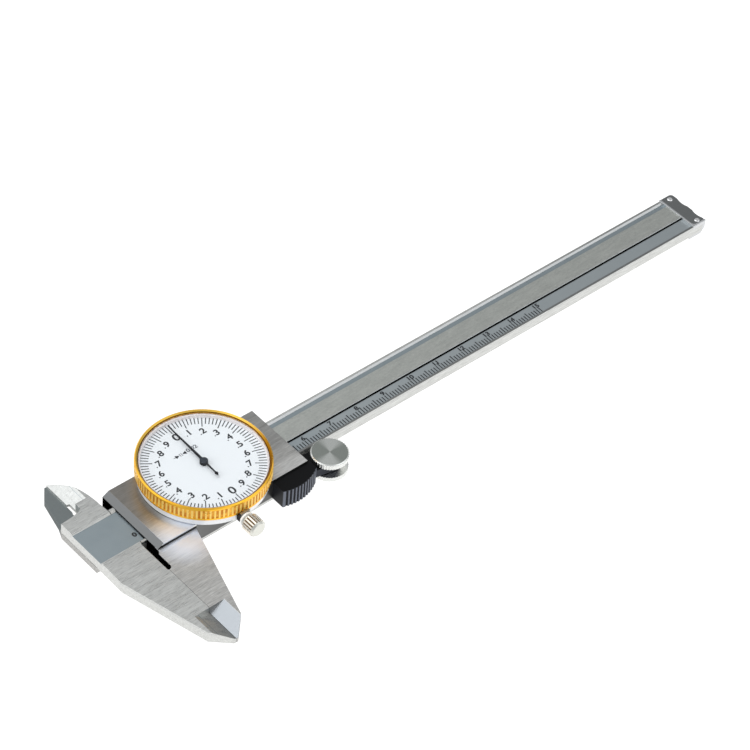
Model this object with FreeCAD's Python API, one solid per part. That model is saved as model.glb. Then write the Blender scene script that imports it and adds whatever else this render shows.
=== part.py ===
# Dial caliper, 150 mm travel, 0.02 mm dial, standing on the back of its slider.
# Origin: the zero of the beam's scale, on the beam's centreline, at the level the slider rests on.
# +X runs along the beam away from the jaws, +Y to the inside jaws, +Z out of the dial. Millimetres.
import FreeCAD, Part
import math
import os

V = FreeCAD.Vector

# Travel and clearances
travel = 150.0
slide_gap = 0.05            # running gap between slider and beam, every side
pivot_gap = 0.03            # radial running gap of the small arbors
bezel_gap = 0.05            # running gap between bezel and housing wall
free_gap = 0.3              # gap between parts that pass without touching
seat_gap = 0.02             # gap round a part dropped into its seat

# Levels of the slider, from the resting face up
back_cover_thick = 0.9
rear_plate_thick = 2.0
front_plate_thick = 1.3
slider_length = 53.5
slider_half_width = 12.4
slider_bevel = 2.1          # sloping reading edge at the slider's left end
bevel_rise = 1.2

# Beam
beam_width = 15.2
beam_thick = 3.6
beam_end = 217.0
body_left = -15.1
recess_depth = 0.5          # satin channel milled between the two lips
upper_lip = 1.5
lip_chamfer = 0.6           # slope from the upper lip down to the channel
lip_drop = 0.4
beam_edge = 0.25            # chamfer of the beam's upper edge
lower_lip = 0.7

# Jaws for outside measuring
jaw_plane = -1.8            # the two measuring faces meet here
jaw_relief = 0.45           # the fixed jaw's face is cut back above the measuring stretch
jaw_relief_slider = 1.15
relief_end = -19.9
slot_corner = 0.6           # rounding of the slot's upper corner
jaw_tip = -48.9
jaw_tip_width = 0.6
jaw_shoulder = -44.0        # height at which the tips start to taper
fixed_jaw_heel = -16.0
heel_flare = 0.1
fixed_shoulder_width = 5.9
slider_shoulder_width = 5.4
sliding_jaw_root = 15.2     # width of the sliding jaw at the slider's lower edge
nib_start = -37.2           # the thin nibs start here
nib_width = 5.1
nib_depth = 2.0

# Blades for inside measuring
blade_plane = -8.0
blade_tip = 27.8
blade_start = 15.0
body_top = 11.3             # top of the fixed body left of the slider
front_bevel_width = 4.2
front_bevel_left = 0.6      # thickness left at the front blade's edge
blade_relief = 0.6          # the front blade's edge is cut back near its root
blade_relief_end = 18.2
rear_bevel_width = 3.0
rear_bevel_left = 0.4
rear_tail = -5.0            # lower end of the plate behind the fixed body
rear_left = -15.2
blade_root_x = -2.2         # back of the fixed blade at its root
blade_root_y = 11.0
blade_bow = (-3.9, 20.4)    # a point of its curved back
rear_blade_corner = (-11.6, 23.8)
rear_blade_root = -13.85
rear_blade_root_y = 14.1
cover_left = -3.0           # the back cover runs on under the plate behind the fixed body
cover_edge = 0.5

# Rack, its chamber and the cover strip
slit_centre = -2.25
slit_width = 0.5
strip_top_edge = 4.4
strip_start = 16.0
strip_thick = 1.0
chamber_height = 1.3
chamber_cover = 1.0         # wall over the chamber under the scale
rack_pitch = 0.8
rack_back = 1.2
rack_left_spare = 4.0       # rack left of the pinion at rest
rack_right_spare = 4.0
chamber_spare = 2.7         # chamber left of the rack

# Gear train: rack pinion, drive gear, centre pinion
pinion_teeth = 12
gear_teeth = 96
centre_teeth = 20
gear_module = 0.15
rack_module = rack_pitch / math.pi
gear_thick = 0.45
gear_hub_r = 1.0
gear_window_r = 1.9
gear_window_circle = 4.0     # radius at which the four windows lie
gear_space = 0.1
pinion_thick = 0.9
arbor_r = 0.4
slit_arbor_r = 0.2
bush_r = 1.1
bush_flange = 0.2

# Depth rod and its groove in the beam's back
rod_y = 3.7
rod_width = 2.6
rod_thick = 1.2
groove_width = 3.0
groove_depth = 1.45
rod_lap = 15.5              # rod under the slider
rod_tip_cut = 0.9

# Gib and set screws in the slider's upper wall
gib_thick = 0.8
gib_height = 2.6
gib_inset = 2.0
set_screw_r = 0.9
set_screw_inset = 10.5

# Dial
dial_shift = 0.15           # dial centre left of the slider's middle
dial_y = 1.0
bezel_r = 19.45
bezel_wall = 1.03           # beside the dial face
bezel_step = 0.17           # seat of the dial face
housing_wall = 0.8
housing_ring_inset = 0.55   # silver ring inside the bezel's radius
housing_groove_depth = 0.4
housing_floor = 0.8
housing_groove = 0.2        # groove at the foot of the silver ring
ring_height = 2.45          # silver ring seen below the bezel
wall_height = 4.3
bezel_height = 4.6
bezel_flutes = 96
flute_depth = 0.24
dial_seat = 2.0             # height of the dial's seat above the bezel's lower edge
dial_thick = 0.4
dial_hole_r = 1.0
spacer_height = 1.15
spacer_wall = 0.6
crystal_thick = 0.5
crystal_rise = 0.45         # the crystal's middle above its rim
crystal_rim = 0.3           # flat rim under the bezel's lip
crystal_slope = 0.9
bezel_lip = 0.12            # overhang that holds the crystal
rim_edge = 0.4              # chamfer round the bezel's top
bridge_level = 2.05         # gap between the housing's floor and the bridge
bridge_thick = 0.8
pillar_r = 1.2
pillar_circle = 6.7         # two pillars stand at this radius
outer_pillar_circle = 14.2
bridge_pad_r = 2.2
bridge_boss_r = 2.6
housing_screw_circle = 14.2
screw_r = 0.7
screw_head_r = 1.25
screw_head = 0.45
cover_screw_inset = 2.2
spring_ring_wide = 0.5
spring_ring_level = 2.5
spring_ring_thick = 0.5
spring_groove = 0.35        # depth of its groove in the housing wall

# Pointer
pointer_end_gap = 1.6       # from the pointer's tip to the dial face's rim
pointer_tail = 6.8
pointer_hub_r = 1.2
pointer_thick = 0.2
pointer_lift = 0.95         # above the dial face
pointer_angle = 1.5         # degrees clockwise of the beam's normal when closed
pointer_half_width = 0.4
pointer_tip_width = 0.26

# Clamp screw of the bezel, in the front of the housing ring
clamp_shift = 1.6           # left of the dial's centre
clamp_level = 1.3           # above the slider's front face
clamp_shank_r = 0.8
clamp_collar_r = 2.15
clamp_collar = 0.95
clamp_neck_r = 1.6
clamp_neck = 0.8
clip_thick = 0.7
clip_half_width = 1.6
clip_reach = 2.2
knob_r = 2.7
knob_length = 4.1
knob_flutes = 18

# Lock screw of the slider, in the upper wall behind the dial
lock_shank_r = 1.2
lock_knob_r = 2.6
lock_knob_length = 5.0
lock_neck = 1.6
lock_flutes = 20

# Thumb roller and grip under the slider's lower edge
roller_reach = 7.5          # axle beyond the slider's right end
roller_r = 5.6
roller_gap = 0.02
roller_top = 0.9            # above the beam's lips
roller_disc = 1.7
roller_height = 6.7
roller_hub_r = 2.0
axle_r = 0.9
axle_head_r = 1.6
axle_head = 0.4
roller_flutes = 44
grip_length = 12.7          # along the slider's lower edge
grip_overhang = 0.8
grip_depth = 5.7
grip_end_depth = 3.0
grip_drop = 0.65            # grip's top face below the slider's
arm_thick = 2.8
arm_r = 3.3
rib_pitch = 1.1
rib_r = 0.4
rib_out = 0.1
tongue_length = 8.0
tongue_reach = 3.0
tongue_thick = 1.6

# End stop
stop_top = 0.3              # above the beam's lips
stop_under = 0.8            # below the beam's back
stop_wall = 1.1             # beyond the beam's end
stop_length = 5.3
stop_seat = 1.0             # depth of the beam's step under the stop
stop_lower_lap = 1.0        # underside runs on past the front edge
stop_rim = 0.6              # raised rim at the inner and the lower edge
stop_corner = 1.2
scallop_r = 6.0
scallop_depth = 0.4
rivet_r = 0.7
rivet_head_r = 0.9
rivet_head = 0.25
rivet_inset = 2.1
rivet_ys = (6.05, -5.9)

# Places that follow from the beam's end and the slider's length
stop_outer = beam_end + stop_wall
recess_end = stop_outer - stop_length
roller_x = slider_length + roller_reach
grip_left = slider_length - grip_length
grip_right = slider_length + grip_overhang
set_screw_x = (set_screw_inset, slider_length - set_screw_inset)
dial_x = slider_length / 2 - dial_shift
lock_x = dial_x
clamp_x = dial_x - clamp_shift
rod_start = slider_length - rod_lap

# Radii that follow from the bezel's
bezel_seat_r = bezel_r - bezel_wall
bezel_bore_r = bezel_seat_r - bezel_step
housing_wall_r = bezel_bore_r - bezel_gap
housing_inner_r = housing_wall_r - housing_wall
housing_ring_r = bezel_r - housing_ring_inset
housing_groove_r = housing_ring_r - housing_groove_depth

# Worked-out levels
z_rear = back_cover_thick
z_beam = z_rear + rear_plate_thick + slide_gap
z_lip = z_beam + beam_thick
z_floor = z_lip - recess_depth
z_plate = z_lip + slide_gap
z_top = z_plate + front_plate_thick
half = beam_width / 2
z_strip = z_lip - strip_thick
z_chamber = z_floor - chamber_cover - chamber_height
z_housing = z_top + housing_floor
z_bezel = z_top + ring_height
z_bezel_top = z_bezel + bezel_height
z_dial = z_bezel + dial_seat
z_pointer = z_dial + dial_thick + pointer_lift
z_crystal = z_dial + dial_thick + spacer_height
z_bridge = z_housing + bridge_level
z_gear = z_housing + 0.6
pinion_r = rack_module * pinion_teeth / 2
gear_distance = gear_module * (gear_teeth + centre_teeth) / 2
drive_y = slit_centre
drive_x = dial_x + math.sqrt(gear_distance ** 2 - (dial_y - drive_y) ** 2)
chamber_start = drive_x - rack_left_spare - chamber_spare
roller_y = -half - roller_gap - roller_r
z_roller_top = z_lip + roller_top
z_roller = z_roller_top - roller_height


def box(x0, x1, y0, y1, z0, z1):
    """A block between two corners."""
    return Part.makeBox(x1 - x0, y1 - y0, z1 - z0, V(x0, y0, z0))


def post(x, y, z0, z1, r):
    """An upright cylinder."""
    return Part.makeCylinder(r, z1 - z0, V(x, y, z0))


def rod_y_axis(x, z, y0, y1, r):
    """A cylinder along Y, from y0 to y1."""
    low = min(y0, y1)
    return Part.makeCylinder(r, abs(y1 - y0), V(x, low, z), V(0, 1, 0))


def ring(x, y, z0, z1, r_out, r_in):
    """An upright tube."""
    return post(x, y, z0, z1, r_out).cut(post(x, y, z0, z1, r_in))


def plate(points, z0, z1):
    """A flat plate, given by its outline; a point marked "bow" is the middle of an arc."""
    corners = [V(p[0], p[1], z0) for p in points + points[:1]]
    edges = []
    i = 0
    while i < len(points):
        if len(points[(i + 1) % len(points)]) == 3:
            edges.append(Part.Arc(corners[i], corners[i + 1], corners[i + 2]).toShape())
            i += 2
        else:
            edges.append(Part.makeLine(corners[i], corners[i + 1]))
            i += 1
    return Part.Face(Part.Wire(edges)).extrude(V(0, 0, z1 - z0))


def side_prism(points, y0, y1):
    """A prism along Y whose outline is given in X and Z."""
    wire = Part.makePolygon([V(x, y0, z) for x, z in points + points[:1]])
    return Part.Face(wire).extrude(V(0, y1 - y0, 0))


def end_prism(points, x0, x1):
    """A prism along X whose outline is given in Y and Z."""
    wire = Part.makePolygon([V(x0, y, z) for y, z in points + points[:1]])
    return Part.Face(wire).extrude(V(x1 - x0, 0, 0))


def turned(points, x, y):
    """A solid of revolution about an upright axis, from an outline in radius and height."""
    wire = Part.makePolygon([V(x + r, y, z) for r, z in points + points[:1]])
    return Part.Face(wire).revolve(V(x, y, 0), V(0, 0, 1), 360)


def turned_y(points, x, z):
    """A solid of revolution about an axis along Y, from an outline in radius and Y."""
    wire = Part.makePolygon([V(x + r, y, z) for r, y in points + points[:1]])
    return Part.Face(wire).revolve(V(x, 0, z), V(0, 1, 0), 360)


def union(shapes):
    """All shapes joined into one solid with its seams removed."""
    return shapes[0].fuse(shapes[1:]).removeSplitter()


def group(shapes):
    """Separate solids kept together in one node."""
    return Part.makeCompound(shapes)


def star(x, y, z0, z1, radii, count, start):
    """A plate whose outline repeats count times; radii pairs a share of the step with a radius."""
    step = 2 * math.pi / count
    points = []
    for i in range(count):
        for share, r in radii:
            a = start + (i + share) * step
            points.append((x + r * math.cos(a), y + r * math.sin(a)))
    return plate(points, z0, z1)


def spur(x, y, z0, z1, teeth, module, tooth_angle):
    """A spur gear with straight-flanked teeth, one of them centred on tooth_angle."""
    pitch_r = module * teeth / 2
    tip_r = pitch_r + 0.8 * module
    root_r = pitch_r - 1.15 * module
    radii = [(-0.33, root_r), (-0.10, tip_r), (0.10, tip_r), (0.33, root_r)]
    return star(x, y, z0, z1, radii, teeth, tooth_angle)


def fluted_y(x, z, y0, y1, r, depth, count):
    """A grooved round knob along Y."""
    flat = star(0, 0, 0, abs(y1 - y0), [(0, r), (0.5, r), (0.6, r - depth), (0.9, r - depth)], count, 0)
    flat.rotate(V(0, 0, 0), V(1, 0, 0), 90)
    flat.translate(V(x, max(y0, y1), z))
    return flat


def screw(x, y, z0, z1, down=True):
    """A cheese-head screw with a slot, head at z1, or at z0 when it points up."""
    if down:
        shank = post(x, y, z0, z1 - screw_head, screw_r)
        head = post(x, y, z1 - screw_head, z1, screw_head_r)
        slot = box(x - screw_head_r, x + screw_head_r, y - 0.15, y + 0.15, z1 - 0.2, z1)
    else:
        shank = post(x, y, z0 + screw_head, z1, screw_r)
        head = post(x, y, z0, z0 + screw_head, screw_head_r)
        slot = box(x - screw_head_r, x + screw_head_r, y - 0.15, y + 0.15, z0, z0 + 0.2)
    return shank.fuse(head).removeSplitter().cut(slot)


def from_dial(r, degrees):
    """A place at a radius and an angle from the dial's centre."""
    return dial_x + r * math.cos(math.radians(degrees)), dial_y + r * math.sin(math.radians(degrees))


# Where the fasteners go
housing_screw_places = [from_dial(housing_screw_circle, a) for a in (155, 208, 68)]
pillar_places = [from_dial(pillar_circle, 207), from_dial(pillar_circle, 77),
                 from_dial(outer_pillar_circle, -69.4)]
cover_screw_places = [(sx, sy) for sx in (cover_screw_inset, slider_length - cover_screw_inset)
                      for sy in (cover_screw_inset - slider_half_width,
                                 slider_half_width - cover_screw_inset)]
rod_screw_places = [(rod_start + 3.0, rod_y), (rod_start + 9.0, rod_y)]
grip_screw_places = [(grip_left + 4.2, -slider_half_width + 1.5),
                     (grip_left + 7.4, -slider_half_width + 1.5)]


def make_beam():
    """The beam with the fixed jaw and the fixed inside blade, ground from one bar."""
    left = body_left
    outline = [(beam_end, -half), (beam_end, half), (jaw_plane, half),
               (blade_root_x, blade_root_y), (*blade_bow, "bow"), (blade_plane, blade_tip),
               (blade_plane, blade_relief_end), (blade_plane + blade_relief, blade_relief_end - 0.4),
               (blade_plane + blade_relief, body_top + 1.4),
               (blade_plane - 0.4, body_top + 0.9), (blade_plane - 2.2, body_top + 0.4),
               (left, body_top), (left, -half), (left - heel_flare, fixed_jaw_heel),
               (jaw_plane - fixed_shoulder_width, jaw_shoulder),
               (jaw_plane - jaw_tip_width, jaw_tip), (jaw_plane, jaw_tip + 0.1),
               (jaw_plane, relief_end), (jaw_plane - 0.35, relief_end + 0.15, "bow"),
               (jaw_plane - jaw_relief, relief_end + 0.5), (jaw_plane - jaw_relief, -half - slot_corner),
               (jaw_plane - jaw_relief + 0.29 * slot_corner, -half - 0.29 * slot_corner, "bow"),
               (jaw_plane - jaw_relief + slot_corner, -half)]
    beam = plate(outline, z_beam, z_lip)
    # Satin channel between the lips, open at the left end
    upper = half - upper_lip
    channel = box(left - 1, recess_end, -half + lower_lip, upper, z_floor, z_lip + 1)
    slope = end_prism([(upper - 1, z_lip - lip_drop), (upper, z_lip - lip_drop),
                       (upper + lip_chamfer, z_lip), (upper + lip_chamfer, z_lip + 1),
                       (upper - 1, z_lip + 1)], left - 1, recess_end)
    # Bevelled nib of the outside jaw
    nib = side_prism([(jaw_plane - nib_width, z_lip), (jaw_plane, z_lip - nib_depth),
                      (jaw_plane + 1, z_lip - nib_depth), (jaw_plane + 1, z_lip + 1),
                      (jaw_plane - nib_width, z_lip + 1)], jaw_tip - 1, nib_start)
    # Knife edge of the inside blade
    knife = side_prism([(blade_plane + front_bevel_width, z_lip), (blade_plane, z_beam + front_bevel_left),
                        (blade_plane - 1, z_beam + front_bevel_left), (blade_plane - 1, z_lip + 1),
                        (blade_plane + front_bevel_width, z_lip + 1)], blade_start, blade_tip + 1)
    # Seat of the cover strip, chamber of the rack and the slit beside the strip
    strip_low = slit_centre + slit_width / 2
    seat = box(strip_start, recess_end, strip_low, strip_top_edge, z_strip, z_lip)
    slit = box(chamber_start, recess_end, slit_centre - slit_width / 2, strip_low, z_chamber, z_lip)
    chamber_low = slit_centre - pinion_r - rack_module - 0.2
    chamber = box(chamber_start, recess_end, chamber_low, rack_back, z_chamber, z_chamber + chamber_height)
    rack_slot = box(chamber_start, recess_end, strip_low, rack_back, z_chamber, z_strip)
    # Groove of the depth rod, open at the far end
    groove = box(rod_start - 2, beam_end + 1, rod_y - groove_width / 2, rod_y + groove_width / 2,
                 z_beam - 1, z_beam + groove_depth)
    # Step under the end stop, with the rivet holes
    step = box(recess_end, beam_end + 1, -half - 1, half + 1, z_lip - stop_seat, z_lip + 1)
    edge = end_prism([(half - beam_edge, z_lip), (half, z_lip - beam_edge), (half + 1, z_lip - beam_edge),
                      (half + 1, z_lip + 1), (half - beam_edge, z_lip + 1)], 0, beam_end + 1)
    cuts = [channel, slope, edge, nib, knife, seat, slit, chamber, rack_slot, groove, step]
    cuts += [post(stop_outer - rivet_inset, y, z_beam - 1, z_lip + 1, rivet_r) for y in rivet_ys]
    return beam.cut(cuts).removeSplitter()


def make_rack():
    """The toothed bar under the cover strip; its teeth face the slit."""
    pitch_line = slit_centre + pinion_r
    tip = pitch_line - 0.8 * rack_module
    root = pitch_line + 1.15 * rack_module
    first = -int(rack_left_spare / rack_pitch)
    last = int((travel + rack_right_spare) / rack_pitch)
    points = []
    for i in range(first, last + 1):
        x = drive_x + i * rack_pitch
        points += [(x - 0.33 * rack_pitch, root), (x - 0.10 * rack_pitch, tip),
                   (x + 0.10 * rack_pitch, tip), (x + 0.33 * rack_pitch, root)]
    right = points[-1][0] + rack_pitch
    left = points[0][0] - rack_pitch
    points += [(right, root), (right, rack_back), (left, rack_back), (left, root)]
    return plate(points, z_chamber, z_strip)


def make_cover_strip():
    """The brushed strip that closes the chamber, flush with the lips."""
    return box(strip_start, recess_end, slit_centre + slit_width / 2, strip_top_edge, z_strip, z_lip)


def make_end_stop():
    """The cap over the beam's far end, with a passage for the depth rod."""
    z0 = z_beam - stop_under
    z1 = z_lip + stop_top
    cap = box(recess_end, stop_outer, -half, half, z0, z1)
    cap = cap.cut(box(recess_end - 1, beam_end, -half - 1, half + 1, z_beam, z_lip - stop_seat))
    lap = box(recess_end - stop_lower_lap, recess_end + 0.1, -half, half, z0, z_beam)
    cap = union([cap, lap])
    passage = box(recess_end - stop_lower_lap - 1, stop_outer + 1, rod_y - groove_width / 2,
                  rod_y + groove_width / 2, z0 - 1, z_beam + groove_depth)
    x_rim = recess_end + stop_rim
    y_rim = -half + stop_rim
    inner = plate([(x_rim, half + 1), (x_rim, y_rim + stop_corner),
                   (x_rim + 0.29 * stop_corner, y_rim + 0.29 * stop_corner, "bow"),
                   (x_rim + stop_corner, y_rim), (stop_outer + 1, y_rim), (stop_outer + 1, half + 1)],
                  z1 - 0.2, z1 + 1)
    tip = plate([(stop_outer - stop_corner, half + 1), (stop_outer - stop_corner, half),
                 (stop_outer - 0.29 * stop_corner, half - 0.29 * stop_corner, "bow"),
                 (stop_outer, half - stop_corner), (stop_outer + 1, half - stop_corner),
                 (stop_outer + 1, half + 1)], z0 - 1, z1 + 1)
    cuts = [passage, inner, tip]
    for y in (half * 0.35, -half * 0.5):
        cuts.append(post(stop_outer + scallop_r - scallop_depth, y, z0 - 1, z1 + 1, scallop_r))
    cuts += [post(stop_outer - rivet_inset, y, z0 - 1, z1 + 1, rivet_r) for y in rivet_ys]
    corner = side_prism([(stop_outer - 1.4, z0 - 1), (stop_outer - 1.4, z0), (stop_outer, z0 + 1.8),
                         (stop_outer + 1, z0 + 1.8), (stop_outer + 1, z0 - 1)], -half - 1, half + 1)
    return cap.cut(cuts + [corner])


def make_end_stop_rivets():
    """Two bright rivets through the stop and the beam."""
    z0 = z_beam - stop_under
    z1 = z_lip + stop_top - 0.2
    x = stop_outer - rivet_inset
    rivets = []
    for y in rivet_ys:
        head = turned([(0, z1), (rivet_head_r, z1), (rivet_head_r * 0.75, z1 + rivet_head),
                       (0, z1 + rivet_head)], x, y)
        rivets.append(post(x, y, z0, z1, rivet_r).fuse(head).removeSplitter())
    return group(rivets)


def make_slider_frame():
    """The slider with the moving jaw and, on its rear plate, the moving inside blade."""
    low = -slider_half_width
    high = slider_half_width
    block = box(0, slider_length, low, high, z_rear, z_top)
    gib_wall = half + slide_gap + gib_thick + slide_gap
    channel = box(-1, slider_length + 1, -half - slide_gap, gib_wall, z_beam - slide_gap, z_plate)
    jaw = plate([(jaw_plane, relief_end), (jaw_plane, jaw_tip + 0.1), (jaw_plane + jaw_tip_width, jaw_tip),
                 (jaw_plane + slider_shoulder_width, jaw_shoulder),
                 (jaw_plane + sliding_jaw_root, low), (jaw_plane + sliding_jaw_root, low + 1),
                 (0, low + 1),
                 (0, low - 0.6), (jaw_plane + jaw_relief_slider, low - 1.4),
                 (jaw_plane + jaw_relief_slider, relief_end + 1.1),
                 (jaw_plane + 0.7 * jaw_relief_slider, relief_end + 0.3, "bow")], z_beam, z_lip)
    nib = side_prism([(jaw_plane + nib_width, z_lip), (jaw_plane, z_lip - nib_depth),
                      (jaw_plane - 1, z_lip - nib_depth), (jaw_plane - 1, z_lip + 1),
                      (jaw_plane + nib_width, z_lip + 1)], jaw_tip - 1, nib_start)
    jaw = jaw.cut(nib)
    # Rear plate running on behind the fixed body to the inside blade
    tail = plate([(1, rear_tail), (1, high), (-1.0, high), (-6.0, body_top + 1.5),
                  (blade_plane - 0.3, body_top + 2.0), (blade_plane - 0.3, blade_start),
                  (blade_plane, blade_start + 0.6), (blade_plane, blade_tip - 0.1),
                  (blade_plane - 0.7, blade_tip - 0.1),
                  rear_blade_corner, (rear_blade_root, rear_blade_root_y),
                  (rear_left, body_top - 0.4), (rear_left, rear_tail)],
                 z_rear, z_beam - slide_gap)
    z_edge = z_beam - slide_gap - rear_bevel_left
    knife = side_prism([(blade_plane - rear_bevel_width, z_rear), (blade_plane, z_edge),
                        (blade_plane + 1, z_edge), (blade_plane + 1, z_rear - 1),
                        (blade_plane - rear_bevel_width, z_rear - 1)], blade_start + 0.3, blade_tip + 1)
    tail = tail.cut(knife)
    # Sloping reading edge at the left end of the front plate
    bevel = side_prism([(-1, z_top - bevel_rise), (0, z_top - bevel_rise), (slider_bevel, z_top),
                        (slider_bevel, z_top + 1), (-1, z_top + 1)], low - 1, high + 1)
    slider = block.cut([channel, bevel])
    slider = union([slider, jaw, tail])
    cuts = []
    # Bores: arbor bush, pivot clearance, set screws, lock screw, fasteners and the grip's tongue
    cuts.append(post(drive_x, drive_y, z_plate - 1, z_top + 1, bush_r))
    middle = z_beam + beam_thick / 2
    cuts += [rod_y_axis(x, middle, gib_wall - 1, high + 1, set_screw_r) for x in set_screw_x]
    cuts.append(rod_y_axis(lock_x, middle, gib_wall - 1, high + 1, lock_shank_r + pivot_gap))
    cuts += [post(x, y, z_plate - 1, z_top + 1, screw_r) for x, y in housing_screw_places]
    cuts += [post(x, y, z_rear - 1, z_rear + 1.6, screw_r) for x, y in cover_screw_places]
    for x, y in rod_screw_places:
        cuts.append(post(x, y, z_rear - 1, z_beam + 1, screw_r))
        cuts.append(post(x, y, z_rear - 1, z_rear + screw_head, screw_head_r))
    cuts.append(box(grip_left + 3.0, grip_left + 3.0 + tongue_length, low - 1, low + tongue_reach,
                    tongue_level(), tongue_level() + tongue_thick))
    for x, y in grip_screw_places:
        cuts.append(post(x, y, z_rear - 1, tongue_level() + 1, screw_r))
        cuts.append(post(x, y, z_rear - 1, z_rear + screw_head, screw_head_r))
    return slider.cut(cuts).removeSplitter()


def tongue_level():
    """Underside of the grip's tongue in the slider's lower wall."""
    return z_beam + 1.0


def make_gib():
    """The brass strip between the slider's upper wall and the beam."""
    y0 = half + slide_gap
    z0 = z_beam + (beam_thick - gib_height) / 2
    return box(gib_inset, slider_length - gib_inset, y0, y0 + gib_thick, z0, z0 + gib_height)


def make_gib_screws():
    """Two slotted set screws that press on the gib."""
    middle = z_beam + beam_thick / 2
    y0 = half + slide_gap + gib_thick
    y1 = slider_half_width - 0.4
    screws = []
    for x in set_screw_x:
        body = rod_y_axis(x, middle, y0, y1, set_screw_r)
        slot = box(x - 1, x + 1, y1 - 0.5, y1, middle - 0.15, middle + 0.15)
        screws.append(body.cut(slot))
    return group(screws)


def make_depth_rod():
    """The depth rod in the beam's groove, screwed to the rear plate."""
    z0 = z_beam - slide_gap
    y0 = rod_y - rod_width / 2
    rod = box(rod_start, stop_outer - 0.1, y0, y0 + rod_width, z0, z0 + rod_thick)
    notch = plate([(stop_outer - 5.0, y0 - 1), (stop_outer + 1, y0 - 1), (stop_outer + 1, y0 + rod_tip_cut),
                   (stop_outer - 4.0, y0 + rod_tip_cut)], z0 - 1, z0 + rod_thick + 1)
    holes = [post(x, y, z0 - 1, z0 + 1.0, screw_r) for x, y in rod_screw_places]
    return rod.cut(holes + [notch])


def make_depth_rod_screws():
    """Two screws from the back, through the rear plate into the depth rod."""
    return group([screw(x, y, z_rear, z_beam - slide_gap + 0.9, down=False) for x, y in rod_screw_places])


def make_back_cover():
    """The thin plate on the slider's back, which the caliper rests on."""
    cover = box(0, slider_length, -slider_half_width, slider_half_width, 0, z_rear)
    tab = box(cover_left, 1, rear_tail + cover_edge, slider_half_width - cover_edge, 0, z_rear)
    cover = union([cover, tab])
    cuts = []
    for x, y in cover_screw_places:
        cuts.append(post(x, y, -1, z_rear + 1, screw_r))
        cuts.append(post(x, y, -1, screw_head + 0.1, screw_head_r))
    return cover.cut(cuts)


def make_back_cover_screws():
    """Four screws, their heads just below the resting face."""
    return group([screw(x, y, 0.1, z_rear + 1.5, down=False) for x, y in cover_screw_places])


def make_dial_housing():
    """The round cup that carries the movement and guides the bezel."""
    z1 = z_top + housing_groove
    z_wall = z_top + wall_height
    r_lock = housing_wall_r - spring_groove
    z_lock = z_housing + spring_ring_level
    outline = [(0, z_top), (housing_groove_r, z_top), (housing_groove_r, z1), (housing_ring_r, z1),
               (housing_ring_r, z_bezel - 0.1),
               (housing_wall_r, z_bezel - 0.1), (housing_wall_r, z_lock - 0.3), (r_lock, z_lock - 0.3),
               (r_lock, z_lock + 0.3), (housing_wall_r, z_lock + 0.3), (housing_wall_r, z_wall),
               (housing_inner_r, z_wall), (housing_inner_r, z_housing), (0, z_housing)]
    cup = turned(outline, dial_x, dial_y)
    cuts = [post(drive_x, drive_y, z_top - 1, z_housing + 1, bush_r),
            post(dial_x, dial_y, z_top - 1, z_housing + 1, bush_r)]
    cuts += [post(x, y, z_top - 1, z_housing + 1, screw_r) for x, y in housing_screw_places]
    z_clamp = z_top + clamp_level
    cuts.append(rod_y_axis(clamp_x, z_clamp, dial_y - housing_ring_r - 1, dial_y - housing_inner_r + 1,
                           clamp_shank_r + pivot_gap))
    cuts.append(box(clamp_x - clip_half_width - 0.1, clamp_x + clip_half_width + 0.1,
                    clamp_face() - 3, clamp_face(), z_top - 1, z_bezel))
    return cup.cut(cuts)


def make_housing_screws():
    """Three screws inside the housing, down into the slider's front plate."""
    return group([screw(x, y, z_plate + 0.1, z_housing + screw_head) for x, y in housing_screw_places])


def make_arbor_bushes():
    """Brass bushes of the drive arbor and the pointer arbor, below and in the bridge."""
    bushes = []
    low = turned([(arbor_r + pivot_gap, z_plate + 0.1), (bush_r, z_plate + 0.1), (bush_r, z_housing),
                  (bush_r + 0.4, z_housing), (bush_r + 0.4, z_housing + bush_flange),
                  (arbor_r + pivot_gap, z_housing + bush_flange)], drive_x, drive_y)
    bushes.append(low)
    bushes.append(turned([(arbor_r + pivot_gap, z_top), (bush_r, z_top), (bush_r, z_housing),
                          (bush_r + 0.4, z_housing), (bush_r + 0.4, z_housing + bush_flange),
                          (arbor_r + pivot_gap, z_housing + bush_flange)], dial_x, dial_y))
    for x, y in ((drive_x, drive_y), (dial_x, dial_y)):
        bushes.append(ring(x, y, z_bridge - 0.1, z_bridge + bridge_thick, bush_r, arbor_r + pivot_gap))
    return group(bushes)


def make_movement_pillars():
    """Three pillars that hold the bridge over the housing's floor."""
    pillars = []
    for x, y in pillar_places:
        pillar = post(x, y, z_housing, z_bridge, pillar_r)
        pillars.append(pillar.cut(post(x, y, z_bridge - 1.6, z_bridge, screw_r)))
    return group(pillars)


def make_movement_bridge():
    """The bridge plate over the gears, in which both arbors turn."""
    pads = [post(x, y, z_bridge, z_bridge + bridge_thick, bridge_pad_r) for x, y in pillar_places]
    arbors = [(drive_x, drive_y), (dial_x, dial_y)]
    pads += [post(x, y, z_bridge, z_bridge + bridge_thick, bridge_boss_r) for x, y in arbors]
    centre = plate([pillar_places[0], pillar_places[2], (drive_x + 2.0, drive_y + 1.5), pillar_places[1]],
                   z_bridge, z_bridge + bridge_thick)
    bridge = union([centre] + pads)
    cuts = [post(x, y, z_bridge - 1, z_bridge + 2, screw_r) for x, y in pillar_places]
    cuts += [post(x, y, z_bridge - 1, z_bridge + 2, bush_r) for x, y in arbors]
    return bridge.cut(cuts)


def make_bridge_screws():
    """Three screws through the bridge into the pillars."""
    top = z_bridge + bridge_thick + screw_head
    return group([screw(x, y, z_bridge - 1.5, top) for x, y in pillar_places])


def make_bezel_spring_ring():
    """The ring in the housing wall's groove that keeps the bezel from lifting."""
    z0 = z_housing + spring_ring_level - spring_ring_thick / 2
    r_in = housing_wall_r - spring_groove
    return ring(dial_x, dial_y, z0, z0 + spring_ring_thick, r_in + spring_ring_wide, r_in)


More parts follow.
